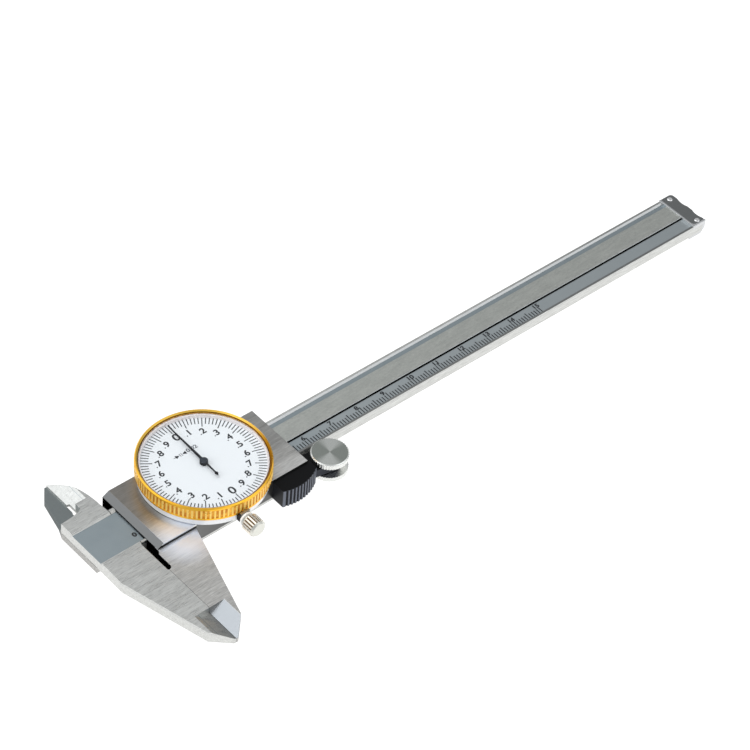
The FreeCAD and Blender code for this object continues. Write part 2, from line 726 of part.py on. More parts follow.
def make_bezel():
    """The gold ring that turns the dial face, with fine flutes round its side."""
    z_lock = z_housing + spring_ring_level
    z1 = z_bezel_top
    z_rim = z_crystal + crystal_thick
    r_lock = housing_wall_r - spring_groove + spring_ring_wide + bezel_gap
    body = star(dial_x, dial_y, z_bezel + 0.6, z1 - 0.9,
                [(0, bezel_r), (0.36, bezel_r), (0.5, bezel_r - flute_depth),
                 (0.86, bezel_r - flute_depth)],
                bezel_flutes, 0)
    foot = post(dial_x, dial_y, z_bezel, z_bezel + 0.6, bezel_r - 0.05)
    head = turned([(0, z1 - 0.9), (bezel_r - 0.05, z1 - 0.9), (bezel_r - 0.05, z1 - rim_edge),
                   (bezel_r - rim_edge, z1), (0, z1)], dial_x, dial_y)
    inside = turned([(0, z_bezel - 1), (bezel_bore_r, z_bezel - 1), (bezel_bore_r, z_lock - 0.3),
                     (r_lock, z_lock - 0.3), (r_lock, z_lock + 0.3), (bezel_bore_r, z_lock + 0.3),
                     (bezel_bore_r, z_dial), (bezel_seat_r, z_dial), (bezel_seat_r, z_rim),
                     (bezel_seat_r - bezel_lip, z_rim), (bezel_r - rim_edge - 0.05, z1),
                     (bezel_r - rim_edge - 0.05, z1 + 1), (0, z1 + 1)],
                    dial_x, dial_y)
    return body.fuse([foot, head]).cut(inside)


def make_dial_face():
    """The dial disc, seated on the bezel's step and turning with it."""
    return ring(dial_x, dial_y, z_dial, z_dial + dial_thick, bezel_seat_r - seat_gap, dial_hole_r)


def make_dial_spacer_ring():
    """The ring that keeps the crystal clear of the pointer."""
    z0 = z_dial + dial_thick
    r = bezel_seat_r - seat_gap
    return ring(dial_x, dial_y, z0, z0 + spacer_height, r, r - spacer_wall)


def make_crystal():
    """The clear cover, snapped under the bezel's lip, with a raised flat middle."""
    r = bezel_seat_r - seat_gap
    low = z_crystal
    high = z_crystal + crystal_thick
    flat = r - crystal_rim
    bend = flat - crystal_slope
    return turned([(0, low + crystal_rise), (bend, low + crystal_rise), (flat, low), (r, low), (r, high),
                   (flat, high), (bend, high + crystal_rise), (0, high + crystal_rise)], dial_x, dial_y)


def make_drive_pinion():
    """The rack pinion and its arbor, thin where it passes the slit."""
    z0 = z_chamber + 0.2
    z1 = z0 + pinion_thick
    pinion = spur(drive_x, drive_y, z0, z1, pinion_teeth, rack_module, math.pi / 2 + math.pi / pinion_teeth)
    neck = post(drive_x, drive_y, z1 - 0.1, z_plate + 0.1, slit_arbor_r)
    shaft = post(drive_x, drive_y, z_plate + 0.05, z_bridge + bridge_thick, arbor_r)
    return union([pinion, neck, shaft])


def mesh_angle():
    """Direction from the drive arbor to the pointer arbor."""
    return math.atan2(dial_y - drive_y, dial_x - drive_x)


def gear_windows(z0):
    """Four round openings that lighten a gear of the drive arbor."""
    windows = []
    for i in range(4):
        a = math.radians(45 + 90 * i)
        x = drive_x + gear_window_circle * math.cos(a)
        y = drive_y + gear_window_circle * math.sin(a)
        windows.append(post(x, y, z0 - 1, z0 + 1, gear_window_r))
    return windows


def make_drive_gear():
    """The 96-tooth gear on the drive arbor, with spokes and a long hub."""
    gear = spur(drive_x, drive_y, z_gear, z_gear + gear_thick, gear_teeth, gear_module, mesh_angle())
    hub = post(drive_x, drive_y, z_gear - 0.25, z_gear + 2 * gear_thick + gear_space + 0.3, gear_hub_r)
    bore = post(drive_x, drive_y, z_gear - 1, z_gear + 3, arbor_r)
    return union([gear, hub]).cut(gear_windows(z_gear) + [bore])


def make_take_up_gear():
    """The thin sprung gear above the drive gear that takes up the backlash."""
    z0 = z_gear + gear_thick + gear_space
    gear = spur(drive_x, drive_y, z0, z0 + gear_thick, gear_teeth, gear_module, mesh_angle())
    bore = post(drive_x, drive_y, z0 - 1, z0 + 3, gear_hub_r + pivot_gap)
    return gear.cut(gear_windows(z0) + [bore])


def make_take_up_spring():
    """The open wire spring round the hub, on top of the sprung gear."""
    z0 = z_gear + 2 * gear_thick + gear_space
    wire = ring(drive_x, drive_y, z0, z0 + 0.25, 1.85, 1.55)
    return wire.cut(box(drive_x, drive_x + 3, drive_y - 0.5, drive_y + 0.5, z0 - 1, z0 + 1))


def make_pointer_arbor():
    """The centre pinion and its arbor, up through the dial to the pointer."""
    z1 = z_gear + 2 * gear_thick + gear_space
    pinion = spur(dial_x, dial_y, z_gear - 0.1, z1 + 0.1, centre_teeth, gear_module,
                  mesh_angle() + math.pi + math.pi / centre_teeth)
    shaft = post(dial_x, dial_y, z_top, z_pointer + pointer_thick, arbor_r)
    return union([pinion, shaft])


def mirrored_plate(right_side, z0, z1):
    """A plate on the dial's centre line, from the right half of its outline."""
    left_side = [(-x, y) for x, y in reversed(right_side) if x > 0]
    return plate([(dial_x + x, dial_y + y) for x, y in right_side + left_side], z0, z1)


def make_pointer():
    """The black hand with a round hub and a small lozenge at its tail."""
    z0 = z_pointer
    z1 = z0 + pointer_thick
    w = pointer_half_width
    blade = mirrored_plate([(w, 0), (w, 1.5), (pointer_tip_width / 2, bezel_seat_r - pointer_end_gap)],
                           z0, z1)
    end = -pointer_tail
    tail = mirrored_plate([(0.3, 0), (0.2, end + 1.7), (0.55, end + 1.0), (0, end)], z0, z1)
    hub = post(dial_x, dial_y, z0 - 0.6, z1 + 0.15, pointer_hub_r)
    pointer = union([blade, tail, hub]).cut(post(dial_x, dial_y, z0 - 1, z1, arbor_r))
    pointer.rotate(V(dial_x, dial_y, 0), V(0, 0, 1), -pointer_angle)
    return pointer


def clamp_face():
    """Outer face of the flat that the bezel clamp's clip lies on."""
    return dial_y - housing_ring_r + 0.15


def make_bezel_clamp_clip():
    """The small plate that the clamp screw draws against the bezel's edge."""
    z_clamp = z_top + clamp_level
    outer = dial_y - bezel_r - free_gap
    clip = box(clamp_x - clip_half_width, clamp_x + clip_half_width, outer - clip_thick, outer,
               z_top + 0.1, z_clamp + clip_reach)
    foot = box(clamp_x - clip_half_width, clamp_x + clip_half_width, outer, clamp_face(),
               z_top + 0.1, z_bezel - 0.3)
    bore = rod_y_axis(clamp_x, z_clamp, outer - clip_thick - 1, clamp_face() + 1, clamp_shank_r + pivot_gap)
    return union([clip, foot]).cut(bore)


def make_bezel_clamp_screw():
    """The bright fluted screw that holds the bezel."""
    z_clamp = z_top + clamp_level
    y0 = dial_y - bezel_r - free_gap - clip_thick - slide_gap
    y_collar = y0 - clamp_collar
    y1 = y_collar - clamp_neck
    y2 = y1 - knob_length
    inner = dial_y - math.sqrt(housing_inner_r ** 2 - (clamp_x - dial_x) ** 2)
    shank = rod_y_axis(clamp_x, z_clamp, y0, inner, clamp_shank_r)
    neck = turned_y([(0, y0), (clamp_collar_r - 0.2, y0), (clamp_collar_r, y0 - 0.2),
                     (clamp_collar_r, y_collar + 0.2), (clamp_neck_r, y_collar), (clamp_neck_r, y1),
                     (0, y1)], clamp_x, z_clamp)
    knob = fluted_y(clamp_x, z_clamp, y1, y2 + 0.6, knob_r, 0.3, knob_flutes)
    cap = turned_y([(0, y2 + 0.6), (knob_r - 0.15, y2 + 0.6), (knob_r - 0.6, y2), (0, y2)],
                   clamp_x, z_clamp)
    return union([shank, neck, knob, cap])


def make_lock_screw():
    """The fluted screw in the upper wall that locks the slider through the gib."""
    middle = z_beam + beam_thick / 2
    y0 = half + slide_gap + gib_thick + slide_gap
    y1 = slider_half_width + slide_gap
    y2 = y1 + lock_neck
    y3 = y2 + lock_knob_length
    shank = rod_y_axis(lock_x, middle, y0, y1, lock_shank_r)
    neck = rod_y_axis(lock_x, middle, y1, y2, lock_shank_r + 0.5)
    knob = fluted_y(lock_x, middle, y2, y3, lock_knob_r, 0.25, lock_flutes)
    return union([shank, neck, knob])


def make_thumb_grip():
    """The black ribbed rest under the slider, with the arm that carries the roller."""
    y0 = -slider_half_width
    z0 = z_rear
    z1 = z_top - grip_drop
    left = grip_left
    right = grip_right
    a = V(left, y0 - grip_depth + 1.0, z0)
    m = V(left + 6.0, y0 - grip_depth, z0)
    b = V(right, y0 - grip_end_depth, z0)
    front = Part.Arc(a, m, b).toShape()
    edges = [Part.LineSegment(V(left, y0, z0), a).toShape(), front,
             Part.LineSegment(b, V(right, y0, z0)).toShape(),
             Part.LineSegment(V(right, y0, z0), V(left, y0, z0)).toShape()]
    body = Part.Face(Part.Wire(edges)).extrude(V(0, 0, z1 - z0))
    centre = front.Curve.Center
    ribs = []
    for p in front.discretize(Number=int(front.Length / rib_pitch) + 1)[1:-1]:
        out = V(p.x - centre.x, p.y - centre.y, 0).normalize() * rib_out
        ribs.append(post(p.x + out.x, p.y + out.y, z0 - 1, z1 + 1, rib_r))
    body = body.cut(ribs)
    # Arm between the roller's discs
    arm_mid = (z_roller + roller_disc + z_roller_top - roller_disc) / 2
    za = arm_mid - arm_thick / 2
    zb = arm_mid + arm_thick / 2
    x_slider = slider_length + slide_gap
    y_beam = -half - free_gap
    arm = plate([(right - 3.0, y0), (x_slider, y0), (x_slider, y_beam - 1.5), (x_slider + 1.5, y_beam),
                 (roller_x - 1.0, y_beam - 1.2), (roller_x + arm_r * 0.7, roller_y + arm_r * 0.7),
                 (roller_x, roller_y - arm_r + 0.1), (right - 0.6, y0 - grip_end_depth + 0.3),
                 (right - 3.0, y0 - grip_end_depth)], za, zb)
    eye = post(roller_x, roller_y, za, zb, arm_r)
    tongue = box(left + 3.0, left + 3.0 + tongue_length, y0 - 0.5, y0 + tongue_reach - seat_gap,
                 tongue_level() + seat_gap, tongue_level() + tongue_thick - seat_gap)
    grip = union([body, arm, eye, tongue])
    cuts = [post(roller_x, roller_y, z0 - 1, z1 + 1, roller_hub_r + pivot_gap)]
    cuts += [post(x, y, tongue_level() - 1, tongue_level() + 1.0, screw_r) for x, y in grip_screw_places]
    return grip.cut(cuts)


def make_grip_screws():
    """Two screws from the back into the grip's tongue."""
    return group([screw(x, y, z_rear, tongue_level() + 1.0, down=False) for x, y in grip_screw_places])


def disc_outline():
    """Knurled edge of the roller's discs."""
    return [(0, roller_r), (0.45, roller_r), (0.6, roller_r - 0.15), (0.85, roller_r - 0.15)]


def make_roller_upper_disc():
    """The upper disc with its hub, which turns in the arm; its rim rolls on the beam's edge."""
    z1 = z_roller_top
    rim = star(roller_x, roller_y, z1 - roller_disc, z1 - 0.25, disc_outline(), roller_flutes, 0)
    face = turned([(0, z1 - 0.25), (roller_r - 0.15, z1 - 0.25), (roller_r - 0.4, z1), (0, z1)],
                  roller_x, roller_y)
    hub = post(roller_x, roller_y, z_roller + roller_disc, z1 - roller_disc, roller_hub_r)
    return union([rim, face, hub]).cut(post(roller_x, roller_y, z_roller, z1 - 0.6, axle_r))


def make_roller_lower_disc():
    """The lower disc, held to the hub by the screw."""
    z0 = z_roller
    rim = star(roller_x, roller_y, z0 + 0.25, z0 + roller_disc, disc_outline(), roller_flutes, 0)
    face = turned([(0, z0), (roller_r - 0.4, z0), (roller_r - 0.15, z0 + 0.25), (0, z0 + 0.25)],
                  roller_x, roller_y)
    cuts = [post(roller_x, roller_y, z0 - 1, z0 + roller_disc + 1, axle_r),
            post(roller_x, roller_y, z0 - 1, z0 + axle_head + 0.1, axle_head_r)]
    return union([rim, face]).cut(cuts)


def make_roller_screw():
    """The screw that holds the two discs together."""
    z0 = z_roller + 0.1
    head = post(roller_x, roller_y, z0, z0 + axle_head, axle_head_r)
    shank = post(roller_x, roller_y, z0, z_roller_top - 0.6, axle_r)
    slot = box(roller_x - 2, roller_x + 2, roller_y - 0.2, roller_y + 0.2, z0, z0 + 0.25)
    return union([head, shank]).cut(slot)


pieces = {
    "beam": make_beam,
    "rack": make_rack,
    "cover_strip": make_cover_strip,
    "end_stop": make_end_stop,
    "end_stop_rivets": make_end_stop_rivets,
    "slider_frame": make_slider_frame,
    "gib": make_gib,
    "gib_screws": make_gib_screws,
    "depth_rod": make_depth_rod,
    "depth_rod_screws": make_depth_rod_screws,
    "back_cover": make_back_cover,
    "back_cover_screws": make_back_cover_screws,
    "dial_housing": make_dial_housing,
    "housing_screws": make_housing_screws,
    "arbor_bushes": make_arbor_bushes,
    "movement_pillars": make_movement_pillars,
    "movement_bridge": make_movement_bridge,
    "bridge_screws": make_bridge_screws,
    "bezel_spring_ring": make_bezel_spring_ring,
    "bezel": make_bezel,
    "dial_face": make_dial_face,
    "dial_spacer_ring": make_dial_spacer_ring,
    "crystal": make_crystal,
    "drive_pinion": make_drive_pinion,
    "drive_gear": make_drive_gear,
    "take_up_gear": make_take_up_gear,
    "take_up_spring": make_take_up_spring,
    "pointer_arbor": make_pointer_arbor,
    "pointer": make_pointer,
    "bezel_clamp_clip": make_bezel_clamp_clip,
    "bezel_clamp_screw": make_bezel_clamp_screw,
    "lock_screw": make_lock_screw,
    "thumb_grip": make_thumb_grip,
    "grip_screws": make_grip_screws,
    "roller_upper_disc": make_roller_upper_disc,
    "roller_lower_disc": make_roller_lower_disc,
    "roller_screw": make_roller_screw,
}

os.makedirs("parts", exist_ok=True)
for name, make in pieces.items():
    shape = make()
    shape.exportStep("parts/" + name + ".step")
    print(name, len(shape.Solids), "solids", round(shape.Volume, 2), "mm3", shape.isValid())
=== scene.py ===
# %% [markdown]
# # A dial caliper
# The solids of the caliper come from its construction model. This script gives them their finishes,
# adds what is printed or engraved on them, and sets up the studio. Everything is in metres: +X runs
# along the beam away from the jaws, +Y towards the inside blades, and +Z out of the dial.

# %% Load the frame
import math

import bpy
from mathutils import Matrix, Vector


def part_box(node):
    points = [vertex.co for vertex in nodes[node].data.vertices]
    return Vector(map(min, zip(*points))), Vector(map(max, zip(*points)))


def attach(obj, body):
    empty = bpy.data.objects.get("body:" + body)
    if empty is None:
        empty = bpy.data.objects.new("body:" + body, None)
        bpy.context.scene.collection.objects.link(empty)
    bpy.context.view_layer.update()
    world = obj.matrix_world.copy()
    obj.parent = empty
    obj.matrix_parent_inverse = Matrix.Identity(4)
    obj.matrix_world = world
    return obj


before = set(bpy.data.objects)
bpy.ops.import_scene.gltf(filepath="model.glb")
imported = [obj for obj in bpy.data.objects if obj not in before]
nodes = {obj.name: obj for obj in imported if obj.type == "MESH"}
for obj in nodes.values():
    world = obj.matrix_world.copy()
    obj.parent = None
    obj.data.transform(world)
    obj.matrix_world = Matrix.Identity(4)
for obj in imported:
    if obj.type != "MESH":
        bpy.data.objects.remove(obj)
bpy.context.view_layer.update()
mm = 0.001

# %% [markdown]
# The looks are fitted to the solids, so their main places are measured from the solids' own boxes
# and not typed again.

# %% Measure the solids
def centre_of(node):
    """Middle of a node's box."""
    low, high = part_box(node)
    return (low + high) / 2


dial = centre_of("dial_face")
dial_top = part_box("dial_face")[1].z
strip_low, strip_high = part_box("cover_strip")
lip = strip_high.z
roller = centre_of("roller_upper_disc")
roller_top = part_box("roller_upper_disc")[1].z
clamp = centre_of("bezel_clamp_screw")
print("dial centre", dial, "lip level", lip)

# %% [markdown]
# ## Shader maths
# A finish is easiest to read as a formula, such as `grain * 0.2 + 0.4`. The small class below wraps a
# socket, so that Python's own operators add the Math nodes, and `Finish.node` adds any other node.

# %% A socket that can be added and multiplied
class Socket:
    """An output socket inside a material's node tree."""

    def __init__(self, finish, output):
        self.finish = finish
        self.output = output

    def math(self, operation, other=0.0, third=None):
        values = {0: self, 1: other}
        if third is not None:
            values[2] = third
        return self.finish.node("ShaderNodeMath", {"operation": operation}, values)

    def __add__(self, other):
        return self.math("ADD", other)

    def __sub__(self, other):
        return self.math("SUBTRACT", other)

    def __mul__(self, other):
        return self.math("MULTIPLY", other)

    def __rsub__(self, other):
        return self.finish.node("ShaderNodeMath", {"operation": "SUBTRACT"}, {0: other, 1: self})

    __radd__ = __add__
    __rmul__ = __mul__


# %% [markdown]
# A finish is a material with one Principled shader. `node` makes a node from its type, its settings
# and the values or links of its inputs, and `output` picks what comes out of it.

# %% The material helper
class Finish:
    """A material whose shader is built step by step."""

    def __init__(self, name, world=None):
        self.material = world or bpy.data.materials.new(name)
        self.material.use_nodes = True
        self.tree = self.material.node_tree
        self.shader = self.tree.nodes["Background" if world else "Principled BSDF"]

    def node(self, kind, settings=None, inputs=None, output=0):
        made = self.tree.nodes.new(kind)
        for key, value in (settings or {}).items():
            setattr(made, key, value)
        for key, value in (inputs or {}).items():
            self.feed(made.inputs[key], value)
        return Socket(self, made.outputs[output])

    def feed(self, socket, value):
        if isinstance(value, Socket):
            self.tree.links.new(value.output, socket)
        else:
            socket.default_value = value

    def set(self, **values):
        """Sockets of the shader by name, with _ for a space."""
        for key, value in values.items():
            self.feed(self.shader.inputs[key.replace("_", " ")], value)

    def place(self, centre=(0, 0, 0), scale=(1, 1, 1)):
        """Object coordinates, moved to a centre, then stretched."""
        coords = self.node("ShaderNodeTexCoord", output="Object")
        moved = self.node("ShaderNodeVectorMath", {"operation": "SUBTRACT"}, {0: coords, 1: centre})
        return self.node("ShaderNodeMapping", {}, {"Vector": moved, "Scale": scale})

    def noise(self, vector, size, detail=2.0, roughness=0.5):
        """Noise whose lumps are about size metres across."""
        return self.node("ShaderNodeTexNoise", {}, {"Vector": vector, "Scale": 1 / size, "Detail": detail,
                                                    "Roughness": roughness})

    def mix(self, factor, a, b):
        """Mix of two colours."""
        return self.node("ShaderNodeMix", {"data_type": "RGBA"}, {0: factor, 6: a, 7: b}, output=2)


def linear(value):
    """One screen value, 0 to 255, as an amount of light."""
    share = value / 255
    return ((share + 0.055) / 1.055) ** 2.4 if value > 10 else share / 12.92


def rgb(r, g, b):
    """A colour as the eye reads it from a screen, 0 to 255, in Blender's linear values."""
    return (linear(r), linear(g), linear(b), 1)


# %% [markdown]
# ## Ground steel
# The beam, the jaws and the slider are stainless steel, ground along the beam, so their faces carry
# fine lines that run along X. A picture of brushed steel would need the solids unwrapped. Noise that is
# stretched along X needs no unwrapping and runs alike over every face, fine lines over broad ones. The
# lines set the colour, the roughness and the bump, because they show mostly in what they reflect.
#
# The small functions after it are masks: each is 1 in a part of the space and 0 elsewhere, or fades
# from one to the other, so that one material can finish the different faces of one solid.

# %% Fine lines along X, and masks
hair = 0.02 * mm  # a face is told from its neighbours this far above or below it


def ground_lines(finish, width=0.14 * mm, length=2.4 * mm):
    """Grey noise from 0 to 1 that is narrow across and long along X."""
    contrast = 2.2
    stretched = finish.place(scale=(width / length, 1, 1))
    fine = finish.noise(stretched, width, detail=3, roughness=0.6)
    broad = finish.noise(stretched, 5 * width, detail=2)
    return finish.node("ShaderNodeClamp", {}, {"Value": (fine * 0.7 + broad * 0.3 - 0.5) * contrast + 0.5})


def rounded_edges(finish, height, depth, radius=0.12 * mm):
    """A bump whose normal is also eased over the solid's sharp edges."""
    eased = finish.node("ShaderNodeBevel", {"samples": 4}, {"Radius": radius})
    return finish.node("ShaderNodeBump", {}, {"Height": height, "Distance": depth, "Normal": eased})


def at_level(coordinate, level, tolerance=0.03 * mm):
    """1 where a coordinate is at a level, else 0."""
    return coordinate.math("COMPARE", level, tolerance)


def above(coordinate, level):
    return coordinate.math("GREATER_THAN", level)


def below(coordinate, level):
    return coordinate.math("LESS_THAN", level)


def between(coordinate, low, high):
    return above(coordinate, low) * below(coordinate, high)


def fade(value, start, end):
    """0 at the start, 1 at the end, eased between them."""
    return value.finish.node("ShaderNodeMapRange", {"interpolation_type": "SMOOTHSTEP"},
                             {"Value": value, "From Min": start, "From Max": end})


def radius_from(finish, centre, flat=(1, 1, 0)):
    """Distance from an axis through a point; flat has a 0 for the axis' own direction."""
    place = finish.place(centre=centre, scale=flat)
    return finish.node("ShaderNodeVectorMath", {"operation": "LENGTH"}, {0: place}, output="Value")


def axes(finish, centre=(0, 0, 0)):
    """The X, Y and Z of a point of the caliper, from a centre."""
    coords = finish.place(centre=centre)
    return [finish.node("ShaderNodeSeparateXYZ", {}, {"Vector": coords}, output=i) for i in range(3)]


# %% [markdown]
# The channel between the beam's lips isn't ground but blasted: it is a smooth, bluish, satin grey. Both
# finishes are on one solid, so a mask picks the channel's floor by its height, which nothing else on
# the beam shares. The top of the lower lip is painted darker, the slope of the upper one carries a
# painted highlight, and the slit over the rack is painted black as shade. A painted reflection lightens
# the scale side of the channel beyond 40 mm, a painted darker reflection dims the top towards the far
# end, and a thin line of painted shade marks where the jaws meet.

# %% Steel of the beam
channel_level = lip - 0.5 * mm
low_lip_y = (-7.6 * mm, -6.89 * mm)
high_slope_y = (6.05 * mm, 6.85 * mm)
high_slope_foot = lip - 0.48 * mm
slit_y = (-2.6 * mm, -1.9 * mm)
slit_floor = lip - 3 * mm
scale_highlight_x = (40 * mm, 75 * mm)
far_end_x = (120 * mm, 200 * mm)
jaw_line = -1.8 * mm
jaw_line_half = 0.12 * mm
steel_light = rgb(226, 227, 224)
steel_dark = rgb(168, 168, 165)


def make_beam_steel():
    finish = Finish("beam_steel")
    lines = ground_lines(finish)
    x, y, z = axes(finish)
    floor = at_level(z, channel_level)
    top = above(z, lip - hair)
    # Painted shade: a thin dark line where the jaws meet, and black in the slit. Painted light: a
    # highlight on the upper slope and a lighter scale side. The top of the lower lip is painted darker.
    seam = at_level(x, jaw_line, jaw_line_half)
    low_lip = between(y, *low_lip_y) * top * above(x, 0)
    slit_shade = between(y, *slit_y) * between(z, slit_floor, channel_level - hair) * above(x, strip_low.x)
    high_slope = between(y, *high_slope_y) * between(z, high_slope_foot, lip - hair) * above(x, 0)
    scale_highlight = below(y, strip_low.y) * fade(x, *scale_highlight_x)
    cloud = finish.noise(finish.place(), 6 * mm, detail=2)
    specks = finish.noise(finish.place(), 0.25 * mm, detail=2)
    satin = finish.mix(cloud * 0.6 + specks * 0.4, rgb(138, 149, 154), rgb(158, 167, 171))
    satin = finish.mix(scale_highlight * 0.28, satin, rgb(206, 208, 206))
    ground = finish.mix(lines, steel_dark, steel_light)
    ground = finish.mix(low_lip * 0.75, ground, rgb(110, 112, 112))
    ground = finish.mix(high_slope * 0.6, ground, rgb(230, 232, 233))
    # painted darker reflection on the top towards the far end
    ground = finish.mix(fade(x, *far_end_x) * top * 0.5, ground, rgb(130, 132, 132))
    ground = finish.mix(seam, ground, rgb(90, 90, 90))
    ground = finish.mix(slit_shade, ground, rgb(16, 16, 16))
    colour = finish.mix(floor, ground, satin)
    roughness = (1 - floor) * (lines * 0.14 + 0.24) + floor * 0.42
    finish.set(Base_Color=colour, Metallic=1.0, Roughness=roughness,
               Normal=rounded_edges(finish, lines * (1 - floor), 0.014 * mm))
    return finish


# %% [markdown]
# The cover strip is ground too, but its grain is short and speckled, and it is a little warmer. Its wall
# in the slit carries a painted highlight along the top and painted shade below.

# %% Steel of the cover strip and the small plates
highlight_depth = 0.28 * mm


def make_strip_steel():
    finish = Finish("strip_steel")
    lines = ground_lines(finish, 0.16 * mm, 1.0 * mm)
    x, y, z = axes(finish)
    wall = below(y, strip_low.y + hair) * above(x, strip_low.x)
    # painted highlight along the top of the wall in the slit, painted shade below it
    edge_highlight = wall * above(z, lip - highlight_depth)
    wall = wall * below(z, lip - highlight_depth)
    colour = finish.mix(lines, rgb(164, 167, 163), rgb(204, 206, 200))
    colour = finish.mix(edge_highlight, colour, rgb(225, 229, 230))
    colour = finish.mix(wall, colour, rgb(18, 18, 18))
    finish.set(Base_Color=colour, Metallic=1 - edge_highlight, Roughness=lines * 0.12 + 0.3,
               Normal=rounded_edges(finish, lines * (1 - edge_highlight), 0.012 * mm))
    return finish


def make_plate_steel():
    finish = Finish("plate_steel")
    lines = ground_lines(finish)
    finish.set(Base_Color=finish.mix(lines, steel_dark, steel_light), Metallic=1.0,
               Roughness=lines * 0.2 + 0.2, Normal=rounded_edges(finish, lines, 0.014 * mm))
    return finish


# %% [markdown]
# A node of the frame keeps its mesh and only gets a new material, in its object's material slot.

# %% Give a node its finish
def dress(finish, *names):
    for name in names:
        if not nodes[name].material_slots:
            nodes[name].data.materials.append(None)
        for slot in nodes[name].material_slots:
            slot.link = "OBJECT"
            slot.material = finish.material


dress(make_beam_steel(), "beam")
dress(make_strip_steel(), "cover_strip")
dress(make_plate_steel(), "depth_rod", "back_cover")

# %% [markdown]
# ## The slider
# The slider is ground like the beam, but its sloping reading edge at the left end is smooth: a mask
# takes what lies left of the slope's end and above its foot. Other masks paint shade on what lies deep
# between the slider and the fixed body, a painted highlight along the lower edge of the front plate over
# the jaw with painted shade under it, and painted shade on the slider's side right of the jaw. Painted
# reflections make the top darker towards its left end and behind the dial, lighter at its right corner,
# and brightest where the jaw leaves it. The inside blade is painted a darker grey, and the nib's face a
# bluer one.

# %% Steel of the slider
slider_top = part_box("dial_housing")[0].z
slider_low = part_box("back_cover")[0].y
slope_end = 2.1 * mm
slope_foot = slider_top - 1.2 * mm
blade_foot = 12.4 * mm
blade_top = lip - 3 * mm
jaw_root_x = 13.5 * mm
plate_highlight_level = slider_top - 0.45 * mm
nib_start = -37.2 * mm
nib_depth = 2.1 * mm
slot_x = (-2.6 * mm, 0.03 * mm)
slot_y = (-20 * mm, 12.5 * mm)
jaw_start = -11.3 * mm
dark_reflection_x = (10 * mm, 24 * mm)
dark_reflection_y = (-9 * mm, 0)
rear_shade_x = (24 * mm, 40 * mm)
rear_shade_y = (-12 * mm, 2 * mm)
corner_highlight_x = (36 * mm, 52 * mm)
corner_highlight_y = (-6 * mm, -14 * mm)
jaw_highlight_spot = (9 * mm, -13.5 * mm, 0)
jaw_highlight_r = (3 * mm, 12 * mm)


def make_slider_steel():
    finish = Finish("slider_steel")
    lines = ground_lines(finish)
    x, y, z = axes(finish)
    top = above(z, slider_top - hair)
    slope = below(x, slope_end) * between(z, slope_foot + hair / 2, slider_top - hair / 2)
    blade = below(z, blade_top) * above(y, blade_foot)
    side = at_level(y, slider_low, 0.05 * mm)
    # painted shade on the lower side right of the jaw; over the jaw, a painted highlight along its top
    # with painted shade below
    wall = side * above(x, jaw_root_x)
    over_jaw = side * below(x, jaw_root_x)
    plate_highlight = over_jaw * above(z, plate_highlight_level)
    plate_shade = over_jaw * below(z, plate_highlight_level)
    nib = below(y, nib_start) * between(z, lip - nib_depth, lip - hair)
    jaw_face = above(z, lip - 1.5 * hair) * below(y, jaw_start)
    # painted shade deep between the slider and the fixed body
    deep_shade = between(x, *slot_x) * between(y, *slot_y) * below(z, slope_foot + hair / 2) * (1 - jaw_face)
    # painted reflections on the top: darker to the left and behind the dial, lighter at the right corner,
    # brightest where the jaw leaves it
    dark_reflection = top * fade(y, *dark_reflection_y) * (1 - fade(x, *dark_reflection_x))
    jaw_highlight = 1 - fade(radius_from(finish, jaw_highlight_spot), *jaw_highlight_r)
    rear_shade = top * fade(y, *rear_shade_y) * fade(x, *rear_shade_x)
    corner_highlight = top * fade(x, *corner_highlight_x) * fade(y, *corner_highlight_y)
    ground = finish.mix(lines, rgb(146, 145, 142), rgb(222, 221, 218))
    ground = finish.mix(rear_shade * 0.4, ground, rgb(92, 93, 90))
    ground = finish.mix(corner_highlight * 0.5, ground, rgb(236, 236, 234))
    ground = finish.mix(jaw_highlight * 0.8, ground, rgb(232, 240, 255))
    ground = finish.mix(dark_reflection * 0.75, ground, rgb(112, 108, 102))
    ground = finish.mix(blade, ground, rgb(128, 134, 134))
    ground = finish.mix(wall, ground, rgb(116, 116, 115))
    ground = finish.mix(nib, ground, rgb(158, 162, 166))
    ground = finish.mix(slope, ground, rgb(112, 113, 113))
    ground = finish.mix(plate_highlight, ground, rgb(235, 236, 236))
    ground = finish.mix(plate_shade, ground, rgb(44, 42, 40))
    colour = finish.mix(deep_shade, ground, rgb(8, 8, 8))
    even = slope + deep_shade + plate_highlight
    finish.set(Base_Color=colour, Metallic=1 - jaw_highlight * (1 - even) * 0.4,
               Roughness=(1 - slope) * (lines * 0.1 + 0.3) + slope * 0.4,
               Specular_Tint=(0.4, 0.4, 0.4, 1),
               Normal=rounded_edges(finish, lines * (1 - even), 0.01 * mm))
    return finish


dress(make_slider_steel(), "slider_frame")

# %% [markdown]
# ## Bright plating
# The dial's housing and the thumb roller are turned and plated. Noise on the distance from the axis
# draws the fine rings of the turning. On the roller's top they gather the light in two opposite wedges.
# An anisotropic shader could find them by itself, but only a painted wedge stays where the photograph
# has it. The cosine of twice the angle round the axis gives both at once.

# %% Turned and plated
wedge_angle = math.radians(46)
housing_white = rgb(248, 249, 250)
roller_white = rgb(240, 241, 238)


def turned_rings(finish, centre):
    across = finish.node("ShaderNodeCombineXYZ", {}, {"X": radius_from(finish, centre)})
    return finish.noise(across, 0.12 * mm, detail=3, roughness=0.7)


def finish_turned(finish, colour, rings, metal, roughness, depth):
    shade = finish.mix(rings, finish.mix(0.2, colour, (0, 0, 0, 1)), colour)
    finish.set(Base_Color=shade, Metallic=metal, Roughness=rings * 0.12 + roughness,
               Normal=rounded_edges(finish, rings, depth, 0.08 * mm))
    return finish


def make_housing_plating():
    finish = Finish("housing_plating")
    return finish_turned(finish, housing_white, turned_rings(finish, dial), 0.3, 0.14, 0.006 * mm)


